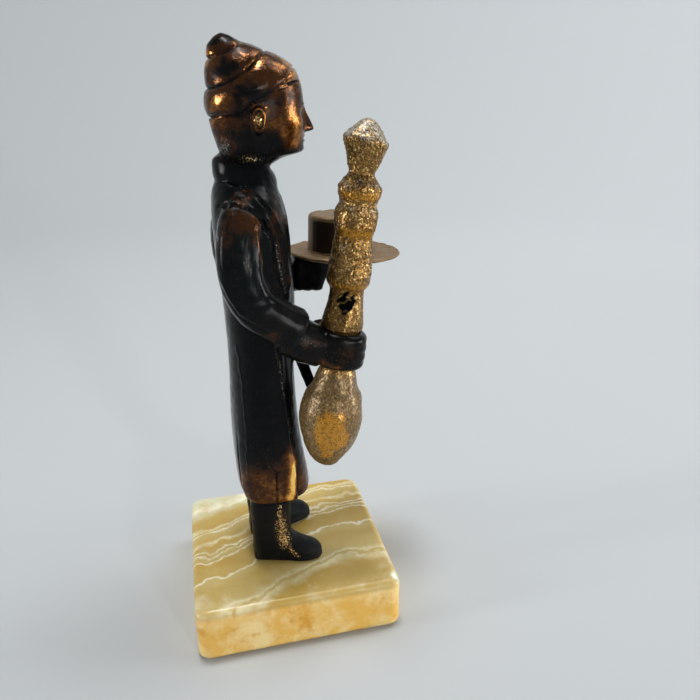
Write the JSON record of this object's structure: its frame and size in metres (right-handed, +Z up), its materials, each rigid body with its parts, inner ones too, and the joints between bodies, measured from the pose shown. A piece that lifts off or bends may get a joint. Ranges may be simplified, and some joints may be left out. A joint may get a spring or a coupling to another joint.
{
  "type": "tea seller figurine",
  "caption": "Cast metal figurine of a tea seller in turban, coat and boots, holding a gilt ewer and a tray with a cup, on a square onyx slab.",
  "frame": {"origin": "centre of the onyx slab's underside", "axes": "+Z up the figure, -Y the way he faces, +X to his left"},
  "size_m": [0.0514, 0.0595, 0.1371],
  "materials": {
    "onyx": "polished honey onyx with wavy white bands",
    "patinated_bronze": "glossy near-black patina, rubbed through to copper",
    "gilt": "rough glittering gilt",
    "dull_brass": "dull brown brass"
  },
  "bodies": {
    "root": {"onyx_slab": "onyx", "figure": "patinated_bronze", "ewer": "gilt", "tray_with_cup": "dull_brass"}
  },
  "joints": []
}
